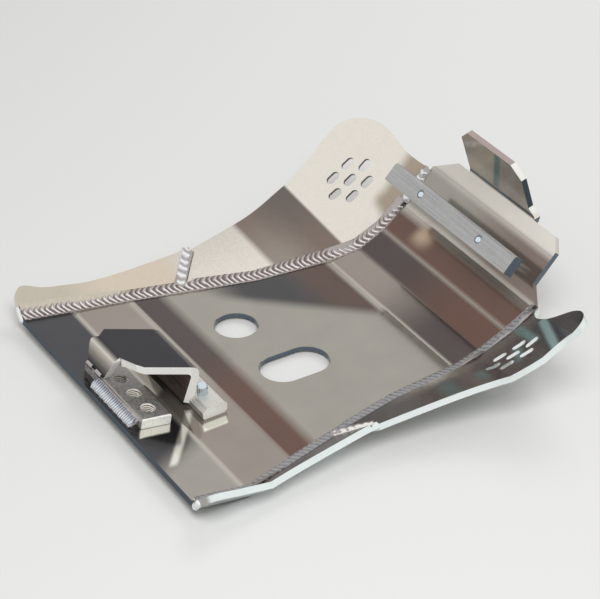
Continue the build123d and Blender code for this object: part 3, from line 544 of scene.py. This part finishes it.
clamp_finish = finish_metal("milled clamp bar", clamp_bar_colour, (1200.0, 60.0, 1200.0), streak_depth=0.14,
                            smooth=0.2, rough=0.36, bump=0.15, metal_of=bar_metal)
front_bar_finish = finish_metal("brushed front bar", front_bar_colour, CROSSWISE, cloud=300,
                                streak_depth=0.42, cloud_depth=0.1, smooth=0.24, rough=0.42, bump=0.2)
weld_finish = finish_metal("bright weld", weld_colour, EVEN, cloud=260, streak_depth=0.05, cloud_depth=0.14,
                           smooth=0.14, rough=0.26, bump=0.04)
corner_finish = finish_metal("white corner weld", plain(238, 240, 244), EVEN, cloud=500, cloud_depth=0.3,
                             bump=0.2, metal_of=lambda net, at: 0.5)
zinc_finish = finish_metal("zinc plated bolt", plain(206, 219, 228), (300.0, 300.0, 300.0), smooth=0.2,
                           rough=0.34, bump=0.1)


def ripple_colour(lower, upper, toe, toe_from):
    """Colour of a rippled bead, with painted highlights and shade: a row of tones over each ripple on its lower
    half, another on its upper half, and one tone on its lower toe."""
    def colour(net, at):
        phase = net.node("ShaderNodeAttribute", attribute_name="phase").outputs["Fac"]
        across = net.node("ShaderNodeAttribute", attribute_name="across").outputs["Fac"]
        place_in = net.math("FRACT", phase)
        body = net.mix(net.span(across, -0.2, 0.35), net.ramp(place_in, lower), net.ramp(place_in, upper))
        return net.mix(net.span(across, toe_from, toe_from - 0.16), body, tone(*toe))
    return colour


# Painted highlights and shade over one ripple, from its start at 0 to the next at 1.
BRIGHT = [(0.0, (104, 92, 90)), (0.2, (126, 112, 110)), (0.42, (170, 160, 158)), (0.56, (252, 251, 249)),
          (0.76, (236, 233, 231)), (0.9, (134, 122, 120)), (1.0, (104, 92, 90))]
SHADED = [(0.0, (86, 75, 73)), (0.3, (140, 128, 126)), (0.6, (196, 189, 187)), (0.86, (142, 131, 129)),
          (1.0, (86, 75, 73))]
DULL = [(0.0, (122, 121, 124)), (0.5, (160, 159, 161)), (1.0, (122, 121, 124))]
WHITE = [(0.0, (158, 152, 155)), (0.5, (248, 248, 250)), (1.0, (158, 152, 155))]
BLUISH = [(0.0, (138, 142, 150)), (0.4, (204, 208, 216)), (0.65, (250, 252, 255)), (0.9, (178, 182, 190)),
          (1.0, (138, 142, 150))]
STEEL_BLUE = [(0.0, (62, 68, 80)), (0.35, (146, 150, 160)), (0.6, (206, 210, 218)), (1.0, (62, 68, 80))]


def ripple_finish(name, lower, upper, toe, toe_from=-0.75):
    return finish_metal(name, ripple_colour(lower, upper, toe, toe_from), EVEN, cloud=260, streak_depth=0.04,
                        cloud_depth=0.1, smooth=0.16, rough=0.26, bump=0.03, metal_of=lambda net, at: 0.6)


left_ripples = ripple_finish("rippled weld, lit side", BRIGHT, SHADED, (176, 166, 162))
right_ripples = ripple_finish("rippled weld, shaded side", DULL, DULL, (240, 236, 230), -0.3)
white_ripples = ripple_finish("white weld", WHITE, WHITE, (214, 210, 212))
bar_ripples = ripple_finish("tight bar weld", BLUISH, STEEL_BLUE, (206, 206, 210))

FINISHES = {"main_plate": plate_finish,
            "left_wing_rear": left_finish, "left_wing_front": left_finish,
            "right_wing_rear": right_finish, "right_wing_front": right_finish,
            "left_rear_corner_weld": corner_finish, "right_rear_corner_weld": corner_finish,
            "rear_bracket": bracket_finish, "rear_bar": rear_bar_finish, "rear_clamp_bar": clamp_finish,
            "front_clamp_bar": front_bar_finish, "rear_clamp_bolts": zinc_finish,
            "front_clamp_bolts": zinc_finish, "front_clamp_washers": zinc_finish}
for name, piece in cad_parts.items():
    piece.data.materials.clear()
    piece.data.materials.append(FINISHES.get(name, weld_finish))


# Welds
STEP = 0.4                # distance between two sections of a bead
END_ROUND = 1.6           # length over which a bead rises at each end
BOW_POWER = 1.4           # how the bow of a ripple steepens towards the toes
UNEVENNESS = 0.9          # how far, in ripples, they stray from their even pitch
DRIFT_SCALE = 130.0
ACROSS = [math.sin(math.radians(a)) for a in range(-90, 91, 12)]


def ripple_tree():
    """Raises the ripples of a weld on a smooth bead, from each point's run along it and place across it."""
    tree = bpy.data.node_groups.new("weld ripples", "GeometryNodeTree")
    face = tree.interface
    face.new_socket("Geometry", in_out="INPUT", socket_type="NodeSocketGeometry")
    for label, value in (("Pitch", 4.7), ("Height", 0.7), ("Sweep", 0.9), ("Unevenness", UNEVENNESS)):
        face.new_socket(label, in_out="INPUT", socket_type="NodeSocketFloat").default_value = value
    face.new_socket("Finish", in_out="INPUT", socket_type="NodeSocketMaterial")
    face.new_socket("Geometry", in_out="OUTPUT", socket_type="NodeSocketGeometry")
    new, link = tree.nodes.new, tree.links.new
    take, give = new("NodeGroupInput"), new("NodeGroupOutput")

    def stored(label, kind):
        made = new("GeometryNodeInputNamedAttribute")
        made.data_type = kind
        made.inputs["Name"].default_value = label
        return made.outputs["Attribute"]

    def work(operation, a, b=0.0):
        made = new("ShaderNodeMath")
        made.operation = operation
        for socket, value in zip(made.inputs, (a, b)):
            if isinstance(value, float):
                socket.default_value = value
            else:
                link(value, socket)
        return made.outputs[0]

    across = stored("across", "FLOAT")
    bow = work("MULTIPLY", across, across)
    bend = work("POWER", work("ABSOLUTE", across), BOW_POWER)
    uneven = new("ShaderNodeTexNoise")
    uneven.inputs["Scale"].default_value = DRIFT_SCALE
    drift = work("MULTIPLY", work("SUBTRACT", uneven.outputs["Fac"], 0.5), take.outputs["Unevenness"])
    phase = work("SUBTRACT", work("DIVIDE", stored("run", "FLOAT"), take.outputs["Pitch"]),
                 work("MULTIPLY", bend, take.outputs["Sweep"]))
    phase = work("ADD", phase, drift)
    wave = work("ABSOLUTE", work("SINE", work("MULTIPLY", phase, math.pi)))
    fade = work("SQRT", work("MAXIMUM", work("SUBTRACT", 1.0, bow), 0.0))
    rise = work("MULTIPLY", work("MULTIPLY", wave, fade), work("MULTIPLY", take.outputs["Height"], MM))
    lift = new("ShaderNodeVectorMath")
    lift.operation = "SCALE"
    link(stored("up", "FLOAT_VECTOR"), lift.inputs[0])
    link(rise, lift.inputs["Scale"])
    raised = new("GeometryNodeSetPosition")
    link(take.outputs["Geometry"], raised.inputs["Geometry"])
    link(lift.outputs[0], raised.inputs["Offset"])
    kept = new("GeometryNodeStoreNamedAttribute")
    kept.data_type = "FLOAT"
    kept.inputs["Name"].default_value = "phase"
    link(raised.outputs[0], kept.inputs["Geometry"])
    link(phase, kept.inputs["Value"])
    smooth = new("GeometryNodeSetShadeSmooth")
    link(kept.outputs[0], smooth.inputs[0])
    real = new("GeometryNodeRealizeInstances")
    link(smooth.outputs[0], real.inputs[0])
    finish = new("GeometryNodeSetMaterial")
    link(real.outputs[0], finish.inputs[0])
    link(take.outputs["Finish"], finish.inputs["Material"])
    link(finish.outputs[0], give.inputs[0])
    return tree


RIPPLES = ripple_tree()


def socket_of(tree, label):
    return next(s.identifier for s in tree.interface.items_tree if s.name == label and s.in_out == "INPUT")


def walk(points):
    """Evenly spaced places along a line of points."""
    places, left = [], 0.0
    for a, b in zip(points[:-1], points[1:]):
        run = (b - a).length
        while left <= run:
            places.append(a.lerp(b, left / run))
            left += STEP
        left -= run
    return places


def weld(name, sections, finish, crown, pitch, height, sweep, root=1.0):
    """A rippled bead over a row of sections, each of (one toe, other toe, way up). crown is how high it
    stands over its toes and root how deep it reaches. pitch and height are those of its ripples, and sweep is
    how many ripples they bow back by at the toes."""
    verts, faces, run_at, across_at, up_at = [], [], [], [], []
    count, ring = len(sections), len(ACROSS) + 1
    for k, (one, other, up) in enumerate(sections):
        run = k * STEP
        to_end = min(k, count - 1 - k) * STEP
        body = math.sqrt(max(0.0, 1 - (1 - min(1.0, to_end / END_ROUND)) ** 2))
        middle = (one + other) / 2
        swell = 0.1 + 0.9 * body + 0.03 * math.sin(run * 0.9) + 0.02 * math.sin(run * 2.3)
        for t in ACROSS:
            spot = middle + (other - one) * (t / 2 * swell) + up * (crown * body * (1 - t * t))
            verts.append(place(*spot))
            across_at.append(t)
            up_at.extend(up * body)
        verts.append(place(*(middle - up * root)))
        across_at.append(1.0)
        up_at.extend((0.0, 0.0, 0.0))
        run_at.extend([run] * ring)
    for k in range(count - 1):
        for i in range(ring):
            j = (i + 1) % ring
            faces.append((k * ring + i, k * ring + j, (k + 1) * ring + j, (k + 1) * ring + i))
    faces += [tuple(reversed(range(ring))), tuple(range((count - 1) * ring, count * ring))]
    smooth = bpy.data.meshes.new(name)
    smooth.from_pydata(verts, [], faces)
    shell = bmesh.new()
    shell.from_mesh(smooth)
    bmesh.ops.recalc_face_normals(shell, faces=shell.faces)
    shell.to_mesh(smooth)
    shell.free()
    for label, kind, key, values in (("run", "FLOAT", "value", run_at),
                                     ("across", "FLOAT", "value", across_at),
                                     ("up", "FLOAT_VECTOR", "vector", up_at)):
        smooth.attributes.new(label, kind, "POINT").data.foreach_set(key, values)
    raw = bpy.data.objects.new(name + "_smooth", smooth)
    bpy.context.scene.collection.objects.link(raw)
    live = raw.modifiers.new("ripples", "NODES")
    live.node_group = RIPPLES
    for label, value in (("Pitch", pitch), ("Height", height), ("Sweep", sweep), ("Finish", finish)):
        live[socket_of(RIPPLES, label)] = value
    raw.update_tag()
    view = bpy.context.evaluated_depsgraph_get()
    mesh = bpy.data.meshes.new_from_object(raw.evaluated_get(view))
    mesh.name = name
    made = bpy.data.objects.new(name, mesh)
    bpy.context.scene.collection.objects.link(made)
    bpy.data.objects.remove(raw)
    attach(made, "root")


# Corner bead: from and to along the part, and how far its toes lie from the plate's side.
SEAM_FROM, SEAM_TO = -87.3, 233.7
PLATE_TOE, LEFT_TOE, RIGHT_TOE, RIGHT_REAR_EXTRA = 5.4, 4.6, 4.7, 1.2


def seam_sections(side):
    """Sections of the corner bead between the plate and a wing, from the rear to the front bend."""
    places = [SEAM_FROM + k * 2 for k in range(int((SEAM_TO - SEAM_FROM) / 2) + 1)]
    line = [Vector((x, side * between(SIDE, x), between(PROFILE, x))) for x in places]
    made = []
    for spot in walk(line):
        corner = between(SIDE, spot.x)
        rearward = min(1.0, max(0.0, (JOINT_X - spot.x) / (JOINT_X - heel_rear[0])))
        out = LEFT_TOE if side > 0 else RIGHT_TOE + RIGHT_REAR_EXTRA * rearward
        one = Vector((spot.x, side * (corner - PLATE_TOE), between(PROFILE, spot.x)))
        other = Vector((spot.x, side * (corner + out), wing_height(spot.x, corner + out)))
        chord = other - one
        made.append((one, other, Vector((0, -side * chord.z, abs(chord.y))).normalized()))
    return made


JOINT_IN, JOINT_OUT = (38.6, 110.6), (60.6, 133.4)
JOINT_TOES = (-3.4, 3.3)


def joint_sections(side):
    """Sections of the bead over the joint of the two wings."""
    made = []
    dx, dy = JOINT_TOES
    for spot in walk([Vector((*JOINT_IN, 0)), Vector((*JOINT_OUT, 0))]):
        toes = []
        for (c, cx, cy), sign in ((REAR_PANELS[1], 1), (FRONT_PANELS[0], -1)):
            x, y = spot.x + sign * dx, spot.y + sign * dy
            toes.append(Vector((x, side * y, c + cx * x + cy * y)))
        made.append((*toes, Vector((-0.12, -0.5 * side, 0.86)).normalized()))
    return made


def slope_point(start, slope, run, y, high):
    """A point on a sloped panel that begins at start, run along it and high over it."""
    return Vector((start[0] + run * math.cos(slope) - high * math.sin(slope), y,
                   start[1] + run * math.sin(slope) + high * math.cos(slope)))


def kick_point(run, y, high):
    """The same on the kicked-up rear panel."""
    return slope_point(rear_end, KICK_SLOPE, run, y, high)


def nose_sections():
    """Sections of the wide bead between the left ear and the front panel."""
    made = []
    for spot in walk([Vector((1, 0, 0)), Vector((32, 0, 0))]):
        one = slope_point(third_end, FRONT_SLOPE, spot.x, 83.4, 0.3)
        other = slope_point(third_end, FRONT_SLOPE, spot.x, 91.4, 2.6)
        up = slope_point((0, 0), FRONT_SLOPE, 0, 0, 1) + Vector((0, -0.3, 0))
        made.append((one, other, up.normalized()))
    return made


def bar_sections():
    """Sections of the bead along the back of the rear bar."""
    made = []
    for spot in walk([Vector((-33.2, 0, 0)), Vector((26.8, 0, 0))]):
        one, other = kick_point(2.4, spot.x, 0.2), kick_point(10.2, spot.x, 6.6)
        up = (kick_point(0, 0, 1) - kick_point(1, 0, 0)).normalized()
        made.append((one, other, up))
    return made


weld("left_seam_ripples", seam_sections(1), left_ripples, crown=1.45, pitch=4.7, height=0.7, sweep=1.15)
weld("right_seam_ripples", seam_sections(-1), right_ripples, crown=1.9, pitch=4.7, height=0.5, sweep=0.8)
weld("left_joint_ripples", joint_sections(1), white_ripples, crown=1.9, pitch=5.6, height=0.8, sweep=0.5)
weld("right_joint_ripples", joint_sections(-1), right_ripples, crown=1.9, pitch=5.6, height=0.8, sweep=0.5)
weld("front_weld_ripples", nose_sections(), white_ripples, crown=1.2, pitch=6.2, height=0.5, sweep=0.5)
weld("rear_bar_weld_ripples", bar_sections(), bar_ripples, crown=2.0, pitch=2.4, height=0.3, sweep=0.7, root=0.6)


# Threads in the rear bar
PER_TURN = 36
SUNK, FLANK = 0.05, 0.42  # how far a thread's foot is sunk in the wall, and half its width in pitches
THREAD_RUN, THREAD_HIGH = 22.65, 3.9          # middle of a thread, along the kicked-up panel and over it
THREAD_R, THREAD_DEEP, THREAD_PITCH, THREAD_LEN = 5.0, 0.6, 1.5, 5.6


def thread(name, middle, axis):
    """A helical ridge that stands in from the wall of a tapped hole."""
    axis = axis.normalized()
    across = axis.orthogonal().normalized()
    other = axis.cross(across)
    count = int(THREAD_LEN / THREAD_PITCH * PER_TURN)
    verts, faces = [], []
    for k in range(count + 1):
        turn = 2 * math.pi * k / PER_TURN
        out = across * math.cos(turn) + other * math.sin(turn)
        rise = -THREAD_LEN / 2 + THREAD_PITCH * k / PER_TURN
        foot, flank = THREAD_R + SUNK, FLANK * THREAD_PITCH
        for radius, step in ((foot, -flank), (THREAD_R - THREAD_DEEP, 0.0), (foot, flank)):
            verts.append(place(*(middle + out * radius + axis * (rise + step))))
    for k in range(count):
        a, b = 3 * k, 3 * k + 3
        for i in range(3):
            j = (i + 1) % 3
            faces.append((a + i, a + j, b + j, b + i))
    faces += [(0, 2, 1), (3 * count, 3 * count + 1, 3 * count + 2)]
    mesh = bpy.data.meshes.new(name)
    mesh.from_pydata(verts, [], faces)
    mesh.materials.append(rear_bar_finish)
    made = bpy.data.objects.new(name, mesh)
    bpy.context.scene.collection.objects.link(made)
    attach(made, "root")


kick_up = kick_point(0, 0, 1) - kick_point(0, 0, 0)
for label, y in zip(("left", "middle", "right"), THREAD_YS):
    thread("rear_thread_" + label, kick_point(THREAD_RUN, y, THREAD_HIGH), kick_up)


# Floor, light and camera, in metres
FLOOR_HALF = 6.0
FLOOR_TONE = (0.80, 0.80, 0.79, 1)
WORLD_TONE = (0.97, 0.97, 0.965, 1)
WORLD_LEVEL = 0.55


def make_floor():
    mesh = bpy.data.meshes.new("floor")
    r = FLOOR_HALF
    mesh.from_pydata([(-r, -r, 0), (r, -r, 0), (r, r, 0), (-r, r, 0)], [], [(0, 1, 2, 3)])
    floor = bpy.data.objects.new("floor", mesh)
    bpy.context.scene.collection.objects.link(floor)
    floor.location.z = -0.2 * MM
    made = bpy.data.materials.new("pale floor")
    made.use_nodes = True
    shader = made.node_tree.nodes["Principled BSDF"]
    shader.inputs["Base Color"].default_value = FLOOR_TONE
    shader.inputs["Roughness"].default_value = 0.9
    shader.inputs["Specular IOR Level"].default_value = 0.1
    mesh.materials.append(made)


def soft_lamp(name, at, size, power):
    """A round lamp that looks at the part and isn't mirrored in it."""
    lamp = bpy.data.lights.new(name, "AREA")
    lamp.shape = "DISK"
    lamp.size = size
    lamp.energy = power
    made = bpy.data.objects.new(name, lamp)
    bpy.context.scene.collection.objects.link(made)
    made.location = at
    made.visible_glossy = False
    made.rotation_euler = (-Vector(at)).to_track_quat("-Z", "Y").to_euler()


make_floor()
soft_lamp("key", (-0.35, -0.75, 1.35), size=0.9, power=11.0)
soft_lamp("fill", (0.9, 0.6, 1.0), size=0.7, power=4.0)

world = bpy.data.worlds.new("studio")
bpy.context.scene.world = world
world.use_nodes = True
net = Net(world.node_tree)
background = world.node_tree.nodes["Background"]
path = net.node("ShaderNodeLightPath")
seen = net.math("MAXIMUM", path.outputs["Is Camera Ray"], path.outputs["Is Glossy Ray"])
seen = net.math("MAXIMUM", seen, path.outputs["Is Transmission Ray"])
net.feed(background.inputs["Color"], WORLD_TONE)
more = net.math("MULTIPLY", seen, 1.0 - WORLD_LEVEL)
net.feed(background.inputs["Strength"], net.math("ADD", WORLD_LEVEL, more))

# The camera, which looks as the photograph does.
CAMERA_AT = place(-718.10, -1250.75, 1042.66)
AZIMUTH, ELEVATION, ROLL = math.radians(-32.567), math.radians(33.913), math.radians(0.872)
FOCAL_PX, PHOTO_WIDE_PX = 2384.95, 600
SENSOR = 36.0
look = Vector((-math.sin(AZIMUTH) * math.cos(ELEVATION), math.cos(AZIMUTH) * math.cos(ELEVATION),
               -math.sin(ELEVATION)))
level = Vector((math.cos(AZIMUTH), math.sin(AZIMUTH), 0))
upright = level.cross(look)
right = math.cos(ROLL) * level + math.sin(ROLL) * upright
over = -math.sin(ROLL) * level + math.cos(ROLL) * upright
lens = bpy.data.cameras.new("camera")
lens.sensor_width = SENSOR
lens.lens = FOCAL_PX * SENSOR / PHOTO_WIDE_PX
lens.clip_start, lens.clip_end = 0.05, 50
camera = bpy.data.objects.new("camera", lens)
bpy.context.scene.collection.objects.link(camera)
turn = Matrix((right, over, -look)).transposed().to_4x4()
camera.matrix_world = Matrix.Translation(CAMERA_AT) @ turn
bpy.context.scene.camera = camera
bpy.context.scene.view_settings.view_transform = "Standard"
